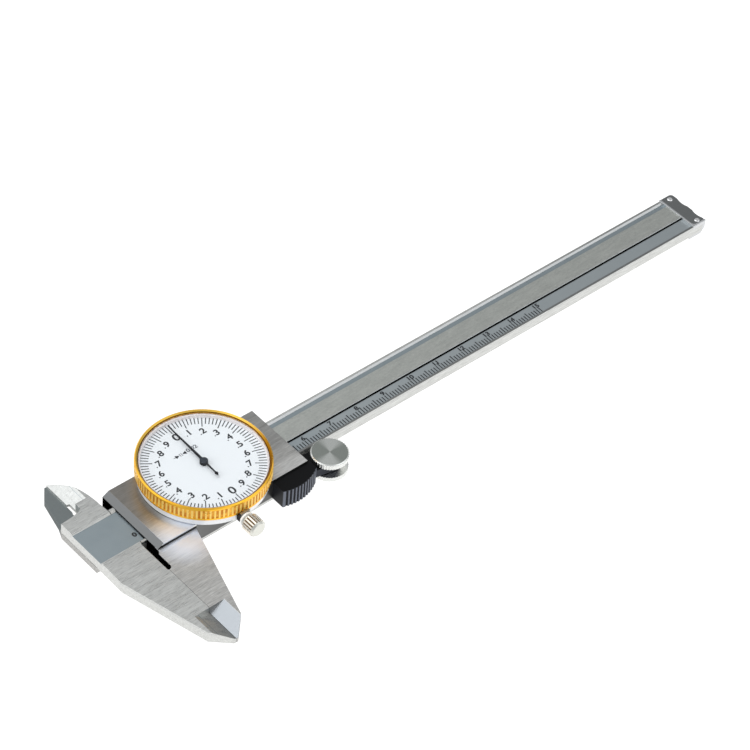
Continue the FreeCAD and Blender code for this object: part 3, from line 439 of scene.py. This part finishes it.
def make_roller_plating():
    finish = Finish("roller_plating")
    face = at_level(axes(finish)[2], roller_top)
    x, y = axes(finish, roller)[:2]
    twice = (y.math("ARCTAN2", x) - wedge_angle) * 2
    wedge = fade(twice.math("COSINE"), -0.4, 0.9)
    face_colour = finish.mix(wedge * 0.8, rgb(162, 167, 161), rgb(226, 228, 224))
    colour = finish.mix(face, roller_white, face_colour)
    return finish_turned(finish, colour, turned_rings(finish, roller), 1.0, 0.18, 0.02 * mm)


dress(make_housing_plating(), "dial_housing")
dress(make_roller_plating(), "roller_upper_disc", "roller_lower_disc")


# %% [markdown]
# The grooves of a knob and of the bezel gather dirt and shade, so they are darker than the ridges. How
# deep a point lies shows in its distance from the axis.

# %% Fluted knob
knob_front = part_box("bezel_clamp_screw")[0].y
knob_groove_r = 2.38 * mm
knob_ridge_r = 2.54 * mm
knob_fluted_y = (knob_front + 0.62 * mm, knob_front + 4.05 * mm)
knob_inner_r = 2.2 * mm
collar_y = knob_front + 4.75 * mm
collar_inner_r = 1.7 * mm
clip_left = clamp.x - 1.55 * mm


def make_knob():
    finish = Finish("clamp_nickel")
    smears = finish.noise(finish.place(), 0.8 * mm, detail=3)
    radius = radius_from(finish, clamp, (1, 0, 1))
    y = axes(finish)[1]
    fluted = between(y, *knob_fluted_y) * above(radius, knob_inner_r)
    collar = above(y, collar_y) * above(radius, collar_inner_r)
    bright = finish.mix(smears, rgb(214, 206, 192), rgb(236, 230, 218))
    grooved = finish.mix(fade(radius, knob_groove_r, knob_ridge_r), rgb(98, 74, 46), bright)
    colour = finish.mix(fluted, finish.mix(smears, rgb(208, 208, 200), rgb(222, 222, 214)), grooved)
    colour = finish.mix(collar, colour, rgb(250, 250, 248))
    finish.set(Base_Color=colour, Metallic=1 - collar * 0.9, Roughness=smears * 0.1 + 0.25,
               Normal=rounded_edges(finish, smears, 0.004 * mm, 0.1 * mm))
    return finish


def make_clip_steel():
    finish = Finish("clip_steel")
    smears = finish.noise(finish.place(), 0.5 * mm, detail=3)
    # painted shade: the clip's left face is black
    left = below(axes(finish)[0], clip_left)
    bright = finish.mix(smears, rgb(150, 146, 138), rgb(186, 182, 172))
    finish.set(Base_Color=finish.mix(left, bright, rgb(12, 12, 12)), Metallic=1.0,
               Roughness=smears * 0.1 + 0.3, Normal=rounded_edges(finish, smears, 0.004 * mm, 0.1 * mm))
    return finish


dress(make_clip_steel(), "bezel_clamp_clip")
dress(make_knob(), "bezel_clamp_screw")

# %% [markdown]
# The lock screw, the rivets and the pieces inside are small or hidden, so they need no masks. One plain
# metal with a few smears in its gloss does for all of them, in the colours of nickel, steel and brass.

# %% Plain metals
def make_plating(name, colour, roughness):
    finish = Finish(name)
    smears = finish.noise(finish.place(), 1.5 * mm, detail=3)
    dull = tuple(c * 0.9 for c in colour[:3]) + (1,)
    finish.set(Base_Color=finish.mix(smears, dull, colour), Metallic=1.0,
               Roughness=smears * 0.1 + roughness,
               Normal=rounded_edges(finish, smears, 0.004 * mm, 0.1 * mm))
    return finish


dress(make_plating("nickel", rgb(214, 208, 196), 0.2), "lock_screw")
dress(make_plating("rivet_steel", rgb(240, 240, 240), 0.12), "end_stop_rivets")
dress(make_plating("screw_steel", rgb(170, 170, 168), 0.25), "gib_screws", "depth_rod_screws",
      "back_cover_screws", "housing_screws", "bridge_screws", "grip_screws", "roller_screw",
      "bezel_spring_ring", "take_up_spring", "drive_pinion", "pointer_arbor", "rack")
dress(make_plating("movement_brass", rgb(224, 190, 110), 0.25), "gib", "arbor_bushes", "movement_pillars",
      "movement_bridge", "drive_gear", "take_up_gear")

# %% [markdown]
# ## The end stop
# The stop's top is a dark grey field inside a bright raised rim. The field lies a little lower, so its
# height picks it out again.

# %% Steel of the end stop
stop_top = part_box("end_stop")[1].z
field_level = stop_top - 0.2 * mm


def make_stop_steel():
    finish = Finish("stop_steel")
    z = axes(finish)[2]
    field = at_level(z, field_level)
    grain = finish.noise(finish.place(), 0.3 * mm, detail=3)
    dark = finish.mix(grain, rgb(116, 118, 118), rgb(140, 142, 142))
    finish.set(Base_Color=finish.mix(field, rgb(206, 207, 208), dark), Metallic=1.0,
               Roughness=grain * 0.15 + 0.25, Normal=rounded_edges(finish, grain, 0.01 * mm, 0.15 * mm))
    return finish


dress(make_stop_steel(), "end_stop")

# %% [markdown]
# ## The bezel
# The bezel is anodised gold. Anodising is a clear coloured skin over bright metal, so the shader is a
# metal whose colour is a strong yellow orange, with slightly uneven gloss. The ridges of its flutes carry
# a painted highlight, and the grooves are a darker amber from dirt and painted shade. The slope inside the
# rim has painted shade on the near side and a painted lighter reflection on the far side, and painted
# dark brown shade where it meets the crystal.

# %% Gold anodising
bezel_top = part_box("bezel")[1].z
flute_groove_r = 19.23 * mm
flute_ridge_r = 19.42 * mm
flute_z = (bezel_top - 3.95 * mm, bezel_top - 0.92 * mm)
flute_inner_r = 19 * mm
rim_slope_r = 19.02 * mm
rim_slope_foot = bezel_top - 0.7 * mm
rim_inner_r = 18.52 * mm
near_y = dial.y - 8 * mm
far_y = dial.y + 8 * mm


def make_gold():
    finish = Finish("gold_anodising")
    smears = finish.noise(finish.place(centre=dial), 1.5 * mm, detail=3)
    radius = radius_from(finish, dial)
    y, z = axes(finish)[1:]
    ridge = fade(radius, flute_groove_r, flute_ridge_r)
    band = between(z, *flute_z) * above(radius, flute_inner_r)
    slope = below(radius, rim_slope_r) * above(z, rim_slope_foot)
    dirt_and_shade = finish.noise(finish.place(centre=dial), 2.2 * mm, detail=2)
    gold = finish.mix(smears, rgb(246, 178, 40), rgb(254, 202, 78))
    # painted highlight on the flute ridges; the grooves darker from dirt and painted shade
    gold = finish.mix(band * ridge * 0.6, gold, rgb(255, 226, 130))
    gold = finish.mix(band * (1 - ridge) * fade(dirt_and_shade, 0.3, 0.62), gold, rgb(206, 128, 8))
    # painted shade on the near side of the inner slope, a painted lighter reflection on the far side, and
    # painted dark brown shade at the crystal
    far = fade(y, near_y, far_y)
    gold = finish.mix(slope, gold, finish.mix(far, rgb(150, 98, 6), rgb(236, 192, 84)))
    gold = finish.mix(slope * below(radius, rim_inner_r), gold, rgb(96, 58, 6))
    finish.set(Base_Color=gold, Metallic=1 - band * 0.6, Roughness=smears * 0.1 + 0.24,
               Normal=rounded_edges(finish, smears, 0.003 * mm, 0.08 * mm))
    return finish


dress(make_gold(), "bezel")

# %% [markdown]
# ## Dial, pointer and crystal
# The dial is painted a cool white, the ring round it is a warmer one, and the pointer is black. The
# crystal could be glass that bends the light, which takes many samples to clear up. It is thin, so a
# nearly transparent shader with a sharp gloss is enough: it shows only its reflections.

# %% Paint and clear plastic
def make_paint(name, light, dark, roughness):
    finish = Finish(name)
    mottle = finish.noise(finish.place(), 1.2 * mm, detail=4)
    finish.set(Base_Color=finish.mix(mottle, dark, light), Roughness=mottle * 0.1 + roughness,
               Normal=rounded_edges(finish, mottle, 0.003 * mm, 0.06 * mm))
    return finish


dress(make_paint("dial_white", rgb(235, 239, 241), rgb(231, 235, 238), 0.4), "dial_face")
dress(make_paint("ring_white", rgb(244, 239, 239), rgb(238, 231, 231), 0.3), "dial_spacer_ring")


pointer_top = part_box("pointer")[1].z
hub_level = pointer_top - 0.05 * mm


def make_pointer_black():
    finish = Finish("pointer_black")
    mottle = finish.noise(finish.place(), 0.5 * mm, detail=3)
    hub = above(axes(finish)[2], hub_level)
    black = finish.mix(mottle, rgb(3, 3, 4), rgb(9, 9, 11))
    finish.set(Base_Color=finish.mix(hub, black, rgb(46, 50, 56)), Roughness=mottle * 0.1 + 0.4,
               Specular_IOR_Level=0.05, Normal=rounded_edges(finish, mottle, 0.003 * mm, 0.05 * mm))
    return finish


dress(make_pointer_black(), "pointer")


def make_crystal():
    finish = Finish("clear_crystal")
    dust = finish.noise(finish.place(), 3 * mm, detail=3)
    finish.set(Base_Color=rgb(150, 155, 162), Roughness=dust * 0.03 + 0.02, Alpha=0.035, IOR=1.49)
    return finish


dress(make_crystal(), "crystal")

# %% [markdown]
# ## The grip
# The thumb rest is moulded in black plastic with a fine sparked texture. Its ribbed face carries a
# painted highlight, grey on the ridges. They could be masked one by one, but the ribs stand on an arc, so
# the distance from the arc's centre tells ridge from groove for all of them. What faces upwards stays
# black; the other faces get the painted grey, a dimmer one on the arm that carries the roller.

# %% Moulded black plastic
arm_start = 54.3 * mm
rib_arc = [(40.8 * mm, slider_low - 4.7 * mm), (46.8 * mm, slider_low - 5.7 * mm),
           (arm_start, slider_low - 3 * mm)]
rib_depth = 0.2 * mm


def arc_centre(a, b, c):
    """Centre and radius of the circle through three points of the plane."""
    ux, uy = b[0] - a[0], b[1] - a[1]
    vx, vy = c[0] - a[0], c[1] - a[1]
    area = 2 * (ux * vy - uy * vx)
    x = (vy * (ux * ux + uy * uy) - uy * (vx * vx + vy * vy)) / area
    y = (ux * (vx * vx + vy * vy) - vx * (ux * ux + uy * uy)) / area
    return (a[0] + x, a[1] + y, 0), math.hypot(x, y)


def make_grip_plastic():
    finish = Finish("grip_plastic")
    grain = finish.noise(finish.place(), 0.12 * mm, detail=2)
    centre, ribs = arc_centre(*rib_arc)
    ridge = fade(radius_from(finish, centre), ribs - rib_depth, ribs - 0.01 * mm)
    normal = finish.node("ShaderNodeNewGeometry", output="Normal")
    upwards = finish.node("ShaderNodeSeparateXYZ", {}, {"Vector": normal}, output="Z")
    black = finish.mix(grain, rgb(4, 5, 6), rgb(9, 10, 12))
    # painted highlight: grey on the ridges of the faces that don't face upwards, dimmer on the arm
    grey = finish.mix(ridge, rgb(22, 24, 29), rgb(106, 110, 120))
    grey = finish.mix(above(axes(finish)[0], arm_start), grey, rgb(48, 51, 58))
    finish.set(Base_Color=finish.mix(below(upwards, 0.5), black, grey), Roughness=grain * 0.15 + 0.32,
               Specular_IOR_Level=0.12, Normal=rounded_edges(finish, grain, 0.01 * mm, 0.12 * mm))
    return finish


dress(make_grip_plastic(), "thumb_grip")
print("materials:", len(bpy.data.materials))

# %% [markdown]
# ## Ink
# Ticks and numbers are printed, or engraved and filled. A picture of them could be laid on the steel,
# but it would blur close by. So each is a very thin solid of ink on its surface. A block is added with
# the operators and shaped in edit mode, and the rest are its copies.

# %% Ink and its helpers
ink_thick = 0.012 * mm


def make_ink(name, dark, light):
    finish = Finish(name)
    wear = finish.noise(finish.place(), 0.4 * mm, detail=3)
    finish.set(Base_Color=finish.mix(wear, dark, light), Roughness=0.5)
    return finish


scale_ink = make_ink("scale_ink", rgb(12, 15, 18), rgb(26, 31, 36))
dial_ink = make_ink("dial_ink", rgb(10, 11, 14), rgb(24, 26, 30))
faint_ink = make_ink("faint_ink", rgb(64, 68, 76), rgb(96, 100, 108))


def alone(piece):
    """Select one object and nothing else."""
    bpy.ops.object.select_all(action="DESELECT")
    piece.select_set(True)
    bpy.context.view_layer.objects.active = piece


def add_block(name, low, high):
    """A block between two corners, with its place in its mesh."""
    bpy.ops.object.select_all(action="DESELECT")
    bpy.ops.mesh.primitive_cube_add(size=1)
    piece = bpy.context.object
    piece.name = name
    size = Vector(high) - Vector(low)
    middle = (Vector(high) + Vector(low)) / 2
    bpy.ops.object.mode_set(mode="EDIT")
    bpy.ops.mesh.select_all(action="SELECT")
    bpy.ops.transform.resize(value=size)
    bpy.ops.transform.translate(value=middle)
    bpy.ops.object.mode_set(mode="OBJECT")
    return piece


def row_of(piece, count, step):
    """Copies of a piece in a row along X."""
    alone(piece)
    row = piece.modifiers.new("row", "ARRAY")
    row.count = count
    row.use_relative_offset = False
    row.use_constant_offset = True
    row.constant_offset_displace = (step, 0, 0)
    bpy.ops.object.modifier_apply(modifier=row.name)
    return piece


def join(name, parts):
    """Several objects as one."""
    bpy.ops.object.select_all(action="DESELECT")
    for part in parts:
        part.select_set(True)
    bpy.context.view_layer.objects.active = parts[0]
    bpy.ops.object.join()
    piece = bpy.context.object
    piece.name = name
    return piece


def finish_piece(piece, finish, body):
    """Material and body of a new piece."""
    piece.data.name = piece.name
    piece.data.materials.clear()
    piece.data.materials.append(finish.material)
    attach(piece, body)
    return piece


# %% [markdown]
# ## The scale on the beam
# The scale starts at zero, one tick per millimetre, with longer ticks every 5 and every 10 mm. The
# longer ones are a short tick with an extra stretch on top, so that no two ticks lie in each other.

# %% Ticks of the scale
tick_foot = -6.5 * mm
tick_wide = 0.36 * mm
short_tick = 1.85 * mm
five_tick = 2.5 * mm
ten_tick = 2.6 * mm
ink_low = channel_level
ink_high = channel_level + ink_thick


def tick_row(y0, y1, first, step, count):
    half = tick_wide / 2
    block = add_block("tick", (first - half, y0, ink_low), (first + half, y1, ink_high))
    return row_of(block, count, step)


ticks = [tick_row(tick_foot, tick_foot + short_tick, 0, 1 * mm, 151),
         tick_row(tick_foot + short_tick, tick_foot + five_tick, 5 * mm, 10 * mm, 15),
         tick_row(tick_foot + short_tick, tick_foot + ten_tick, 0, 10 * mm, 16)]
finish_piece(join("scale_ticks", ticks), scale_ink, "beam")

# %% [markdown]
# Numbers are text objects made into meshes. The font's digits get a small thickness first, which
# closes them. Fattening the closed mesh makes the strokes bolder, and its height is set back after it.

# %% Write a number
digit_share = 0.72  # height of a digit over the font's size
scale_digit = 1.5 * mm
number_foot = -4.35 * mm


def write(text, size, x, y, level, stretch=1.0, weight=0.09 * mm):
    """Digits of a given height on z = level, with their middle at x and their strokes made bolder."""
    bpy.ops.object.select_all(action="DESELECT")
    bpy.ops.object.text_add()
    words = bpy.context.object
    words.data.body = text
    words.data.size = size / digit_share
    words.data.align_x = "CENTER"
    words.data.align_y = "BOTTOM_BASELINE"
    words.data.extrude = ink_thick / 2
    words.data.resolution_u = 4
    bpy.ops.object.convert(target="MESH")
    piece = bpy.context.object
    bpy.ops.object.mode_set(mode="EDIT")
    bpy.ops.mesh.select_all(action="SELECT")
    bpy.ops.mesh.remove_doubles(threshold=1e-7)
    bpy.ops.transform.shrink_fatten(value=weight, use_even_offset=True)
    thinner = ink_thick / (ink_thick + 2 * weight)
    bpy.ops.transform.resize(value=(stretch, 1, thinner), center_override=(0, 0, 0))
    bpy.ops.transform.translate(value=(x, y, level + ink_thick / 2))
    bpy.ops.object.mode_set(mode="OBJECT")
    return piece


numbers = []
for centimetre in range(16):
    shift = -0.2 * mm if centimetre > 9 else -0.85 * mm
    weight = 0.1 * mm
    if centimetre == 0:
        shift = -1.25 * mm
        weight = 0.14 * mm
    numbers.append(write(str(centimetre), scale_digit, centimetre * 10 * mm + shift, number_foot, ink_low,
                         stretch=1.15, weight=weight))
finish_piece(join("scale_numbers", numbers), scale_ink, "beam")

# %% [markdown]
# ## The dial's markings
# A hundred ticks go round the dial and every fifth is longer. One tick is made at the top and the spin
# operator sets its copies round the axis. The dial stands three quarters of a degree past the beam's
# normal, as the bezel was left.

# %% Ticks of the dial
dial_turn = math.radians(-0.75)
dial_tick_in = 15.4 * mm
dial_tick_out = 17.75 * mm
dial_five_in = 14.3 * mm
dial_tick_wide = 0.29 * mm


def ring_of_ticks(name, r0, r1, wide, count):
    block = add_block(name, (dial.x - wide / 2, dial.y + r0, dial_top),
                      (dial.x + wide / 2, dial.y + r1, dial_top + ink_thick))
    alone(block)
    bpy.ops.object.mode_set(mode="EDIT")
    bpy.ops.mesh.select_all(action="SELECT")
    bpy.ops.mesh.spin(steps=count - 1, dupli=True, angle=2 * math.pi * (count - 1) / count,
                      center=(dial.x, dial.y, 0), axis=(0, 0, 1))
    bpy.ops.mesh.select_all(action="SELECT")
    bpy.ops.mesh.normals_make_consistent(inside=False)
    bpy.ops.object.mode_set(mode="OBJECT")
    return block


def turn_on_dial(piece, angle):
    """Turn a finished mesh round the dial's axis."""
    spot = Matrix.Translation((dial.x, dial.y, 0))
    piece.data.transform(spot @ Matrix.Rotation(angle, 4, "Z") @ spot.inverted())


dial_ticks = join("dial_ticks", [ring_of_ticks("short", dial_tick_in, dial_tick_out, dial_tick_wide, 100),
                                 ring_of_ticks("long", dial_five_in, dial_tick_in, dial_tick_wide, 20)])
turn_on_dial(dial_ticks, dial_turn)
finish_piece(dial_ticks, dial_ink, "bezel")

# %% [markdown]
# The numbers run clockwise, 0 to .9 twice, because one turn of the pointer is two millimetres. All of
# them stand upright, and only their places go round. The two zeros are larger.

# %% Numbers of the dial
number_circle = 12.65 * mm
digit_high = 2.15 * mm
zero_high = 2.7 * mm
dot_half = 0.18 * mm
dot_before = 1.15 * mm
labels = []


def add_dot(x, y):
    """A small square point before a digit."""
    return add_block("dot", (x - dot_half, y - dot_half, dial_top),
                     (x + dot_half, y + dot_half, dial_top + ink_thick))


for i in range(20):
    angle = math.radians(18 * i)
    x = dial.x + number_circle * math.sin(angle)
    y = dial.y + number_circle * math.cos(angle)
    if i % 10 == 0:
        labels.append(write("0", zero_high, x, y - zero_high / 2, dial_top, stretch=1.15))
    else:
        x = x + 0.1 * mm
        labels.append(write(str(i % 10), digit_high, x, y - digit_high / 2, dial_top, stretch=1.05))
        labels.append(add_dot(x - dot_before, y - digit_high / 2 + 0.1 * mm))
dial_numbers = join("dial_numbers", labels)
turn_on_dial(dial_numbers, dial_turn)
finish_piece(dial_numbers, dial_ink, "bezel")

# %% [markdown]
# Over the middle stands the mark for the value of one division: two arrowheads that point at each
# other across two short lines, and the number 0.02.

# %% Mark of the division
mark_y = dial.y + 6.35 * mm
mark_x = dial.x - 3.1 * mm
arrow_r = 0.88 * mm
tip_gap = 0.5 * mm
line_near = 0.2 * mm
line_far = 0.38 * mm
line_half = 0.6 * mm
tail_near = 1.8 * mm
tail_far = 2.5 * mm
tail_half = 0.1 * mm
value_high = 1.3 * mm
value_x = dial.x + 0.85 * mm
value_foot = mark_y - 0.35 * mm


def arrowhead(tip_x, direction):
    """A flat arrowhead, made from a three-sided cylinder, with its tip at tip_x."""
    bpy.ops.object.select_all(action="DESELECT")
    bpy.ops.mesh.primitive_cylinder_add(vertices=3, radius=arrow_r, depth=ink_thick)
    piece = bpy.context.object
    bpy.ops.object.mode_set(mode="EDIT")
    bpy.ops.mesh.select_all(action="SELECT")
    bpy.ops.transform.rotate(value=direction * math.pi / 2, orient_axis="Z", center_override=(0, 0, 0))
    bpy.ops.transform.resize(value=(1, 0.85, 1), center_override=(0, 0, 0))
    bpy.ops.transform.translate(value=(tip_x - direction * arrow_r, mark_y, dial_top + ink_thick / 2))
    bpy.ops.object.mode_set(mode="OBJECT")
    return piece


def mark_block(x0, x1, half):
    """Ink from x0 to x1 along X, counted from the mark's middle, and half to each side along Y."""
    return add_block("mark", (mark_x + x0, mark_y - half, dial_top),
                     (mark_x + x1, mark_y + half, dial_top + ink_thick))


marks = [arrowhead(mark_x - tip_gap, 1), arrowhead(mark_x + tip_gap, -1),
         mark_block(-line_far, -line_near, line_half),
         mark_block(line_near, line_far, line_half),
         mark_block(-tail_far, -tail_near, tail_half)]
division_mark = join("division_mark", marks)
turn_on_dial(division_mark, dial_turn)
finish_piece(division_mark, dial_ink, "bezel")
division_value = write("0.02", value_high, value_x, value_foot, dial_top, stretch=1.2,
                       weight=0.04 * mm)
division_value.name = "division_value"
turn_on_dial(division_value, dial_turn)
finish_piece(division_value, faint_ink, "bezel")

# %% [markdown]
# ## Studio
# The caliper lies on plain white. A white plane alone would turn grey beside it, so the floor is a pale
# light table: it stays white under the caliper and lights the sides of the jaws from below.

# %% Floor
bpy.ops.object.select_all(action="DESELECT")
bpy.ops.mesh.primitive_plane_add(size=6)
floor = bpy.context.object
floor.name = "floor"
floor_paint = Finish("floor_paint")
mottle = floor_paint.noise(floor_paint.place(), 0.3, detail=2)
floor_grey = floor_paint.mix(mottle, (0.2, 0.2, 0.2, 1), (0.22, 0.22, 0.22, 1))
floor_paint.set(Base_Color=floor_grey, Roughness=0.8, Specular_IOR_Level=0.0,
                Emission_Color=(1, 1, 1, 1), Emission_Strength=1.0)
floor.data.materials.append(floor_paint.material)

# %% [markdown]
# Steel shows what stands round it more than its own colour. A picture of a room could stand round it,
# but its bright places would fall where they happen to be. Here the room is a soft grey, brighter in two
# directions that give the bevels their light, and darker in one. Two large panels light the dial. The
# left one isn't mirrored, so that it draws no streak on the bezel.

# %% Room and lights
scene = bpy.context.scene
scene.world = bpy.data.worlds.new("studio")
room = Finish("room", scene.world)
direction = room.node("ShaderNodeTexCoord", output="Generated")


def glow(towards, inner, outer, power):
    """Brightness that fades from an inner to an outer angle round a direction."""
    axis = Vector(towards).normalized()
    cosine = room.node("ShaderNodeVectorMath", {"operation": "DOT_PRODUCT"}, {0: direction, 1: axis},
                       output="Value")
    return room.node("ShaderNodeMapRange", {"interpolation_type": "SMOOTHSTEP"},
                     {"Value": cosine, "From Min": math.cos(math.radians(outer)),
                      "From Max": math.cos(math.radians(inner)), "To Max": power})


room_level = 0.6
brightness = (room_level + glow((-0.5, 0.5, 0.71), 6, 55, 1.0) + glow((0.4, -0.85, 0.3), 10, 45, 0.8)
              - glow((0.85, 0.5, 0.15), 10, 40, 0.3))
room.set(Color=(0.96, 0.98, 1.0, 1), Strength=brightness)
scene.view_settings.view_transform = "Standard"


def add_panel(name, place, target, width, height, power):
    """A soft rectangular light that faces a point."""
    bpy.ops.object.select_all(action="DESELECT")
    bpy.ops.object.light_add(type="AREA", location=place)
    light = bpy.context.object
    light.name = name
    light.data.shape = "RECTANGLE"
    light.data.size = width
    light.data.size_y = height
    light.data.energy = power
    light.rotation_euler = (Vector(target) - Vector(place)).to_track_quat("-Z", "Y").to_euler()
    return light


middle = Vector((0.08, 0, 0))
add_panel("overhead", (0.0, 0.1, 1.2), middle, 0.9, 0.9, 4)
add_panel("left", (-1.2, 0.1, 0.6), middle, 0.7, 0.7, 3).visible_glossy = False

# %% [markdown]
# ## Camera
# The camera stands where the photograph's did: its place, turn and lens were worked out from the
# scale's ticks and the dial's circles. Its lens is long, so lines that run away stay nearly parallel.

# %% Camera
camera_place = (-0.36382, -0.46111, 0.64662)
camera_turn = (45.3507, -3.6534, -40.8828)  # degrees round X, Y and Z
bpy.ops.object.select_all(action="DESELECT")
bpy.ops.object.camera_add(location=camera_place)
camera = bpy.context.object
camera.rotation_euler = [math.radians(angle) for angle in camera_turn]
camera.data.sensor_width = 36
camera.data.lens = 150.86
camera.data.clip_start = 0.01
camera.data.clip_end = 20
scene.camera = camera
